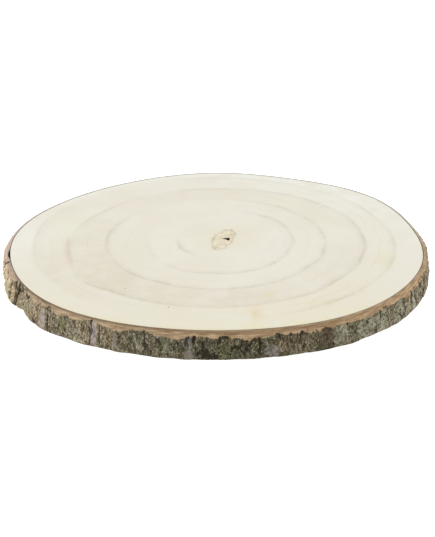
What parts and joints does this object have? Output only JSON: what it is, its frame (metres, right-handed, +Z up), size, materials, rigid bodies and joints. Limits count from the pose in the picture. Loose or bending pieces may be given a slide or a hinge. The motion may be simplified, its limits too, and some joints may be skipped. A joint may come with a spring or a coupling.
{
  "type": "wood log slice",
  "caption": "Round slice sawn across a log: a pale flat wood disc with a small hollow pith, inside a ring of rough bark with a trimmed upper edge.",
  "frame": {"origin": "middle of the slice's outline, on the flat underside it rests on", "axes": "+Z up through the slice's thickness, out of the sawn top face; +X across its widest way; +Y away from the side that faces the viewer in the picture"},
  "size_m": [0.3492, 0.339, 0.02],
  "materials": {
    "wood": "satin",
    "bark": "matte"
  },
  "bodies": {
    "root": {"wood": "wood", "bark": "bark"}
  },
  "joints": []
}
